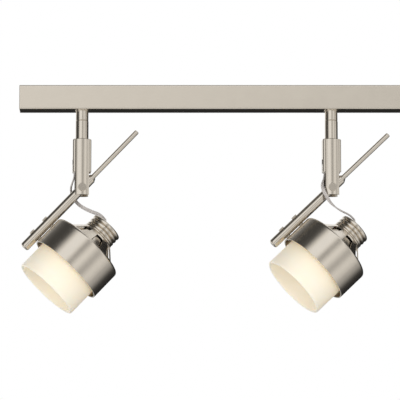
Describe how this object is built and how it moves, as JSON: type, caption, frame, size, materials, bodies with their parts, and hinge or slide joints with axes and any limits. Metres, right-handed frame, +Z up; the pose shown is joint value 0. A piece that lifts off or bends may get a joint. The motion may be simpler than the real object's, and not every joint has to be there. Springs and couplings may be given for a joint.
{
  "type": "track lighting fixture",
  "caption": "Ceiling rail carrying swivelling, tilting spot heads: forked stem, slanted arm with aiming handle, vented metal back and open opal glass shade.",
  "frame": {"origin": "centre of the ceiling screw pattern, on the ceiling plane midway between the two stems", "axes": "+X along the rail towards the feed cap, +Y towards the rail's rear, +Z up into the ceiling"},
  "size_m": [0.5045, 0.1053, 0.2947],
  "materials": {
    "rail_nickel": "satin brushed nickel plate",
    "stem_nickel": "polished satin nickel plate",
    "satin_nickel": "satin nickel plate, turned",
    "cast_nickel": "nickel-plated die casting",
    "screw_nickel": "nickel-plated screws",
    "zinc_steel": "zinc-plated steel",
    "spring_steel": "spring steel",
    "green_screw": "green ground screw",
    "brass": "plain brass",
    "white_plastic": "moulded insulating plastic",
    "wire_insulation": "wire insulation",
    "clear_lead": "clear twin lead over tinned wire",
    "fibre_washer": "fibre friction washer",
    "ceramic": "unglazed ceramic",
    "lamp_glass": "reflector lamp glass",
    "opal_glass": "satin opal glass"
  },
  "bodies": {
    "rail": {"rail_channel": "rail_nickel", "end_cap_left": "rail_nickel", "feed_cap_right": "rail_nickel", "end_cap_screws": "zinc_steel", "mounting_bar": "zinc_steel", "mounting_screws": "zinc_steel", "ground_screw": "green_screw", "terminal_block": "white_plastic", "terminal_screws": "brass", "rail_leads": "wire_insulation", "stem_collar_left": "stem_nickel", "collar_nut_left": "zinc_steel", "stem_collar_right": "stem_nickel", "collar_nut_right": "zinc_steel"},
    "swivel_left": {"swivel_nut_left": "zinc_steel", "stem_tube_left": "stem_nickel", "swivel_block_left": "stem_nickel", "front_cheek_left": "stem_nickel", "rear_cheek_left": "stem_nickel", "cheek_screws_left": "screw_nickel", "pivot_screw_left": "screw_nickel", "stem_wires_left": "wire_insulation", "lead_bushing_left": "white_plastic"},
    "arm_left": {"arm_tube_left": "stem_nickel", "friction_washers_left": "fibre_washer", "arm_end_caps_left": "stem_nickel", "aim_handle_left": "stem_nickel", "band_screws_left": "screw_nickel", "shade_band_left": "satin_nickel", "vent_cone_left": "satin_nickel", "base_plate_left": "satin_nickel", "finned_cap_left": "cast_nickel", "lamp_socket_left": "ceramic", "lamp_left": "lamp_glass", "glass_shade_left": "opal_glass", "glass_springs_left": "spring_steel", "lamp_lead_left": "clear_lead"},
    "swivel_right": {"swivel_nut_right": "zinc_steel", "stem_tube_right": "stem_nickel", "swivel_block_right": "stem_nickel", "front_cheek_right": "stem_nickel", "rear_cheek_right": "stem_nickel", "cheek_screws_right": "screw_nickel", "pivot_screw_right": "screw_nickel", "stem_wires_right": "wire_insulation", "lead_bushing_right": "white_plastic"},
    "arm_right": {"arm_tube_right": "stem_nickel", "friction_washers_right": "fibre_washer", "arm_end_caps_right": "stem_nickel", "aim_handle_right": "stem_nickel", "band_screws_right": "screw_nickel", "shade_band_right": "satin_nickel", "vent_cone_right": "satin_nickel", "base_plate_right": "satin_nickel", "finned_cap_right": "cast_nickel", "lamp_socket_right": "ceramic", "lamp_right": "lamp_glass", "glass_shade_right": "opal_glass", "glass_springs_right": "spring_steel", "lamp_lead_right": "clear_lead"}
  },
  "joints": [
    {"name": "swivel_left", "type": "hinge", "parent": "rail", "child": "swivel_left", "pos_m": [-0.16005, 0, -0.045], "axis": [0, 0, 1], "range_deg": [-170, 170]},
    {"name": "tilt_left", "type": "hinge", "parent": "swivel_left", "child": "arm_left", "pos_m": [-0.16005, 0, -0.1332], "axis": [-0.1045, 0.9945, 0], "range_deg": [-20, 55], "deforming": ["lamp_lead_left"]},
    {"name": "swivel_right", "type": "hinge", "parent": "rail", "child": "swivel_right", "pos_m": [0.16005, 0, -0.045], "axis": [0, 0, 1], "range_deg": [-170, 170]},
    {"name": "tilt_right", "type": "hinge", "parent": "swivel_right", "child": "arm_right", "pos_m": [0.16005, 0, -0.1332], "axis": [-0.1392, 0.9903, 0], "range_deg": [-20, 55], "deforming": ["lamp_lead_right"]}
  ]
}
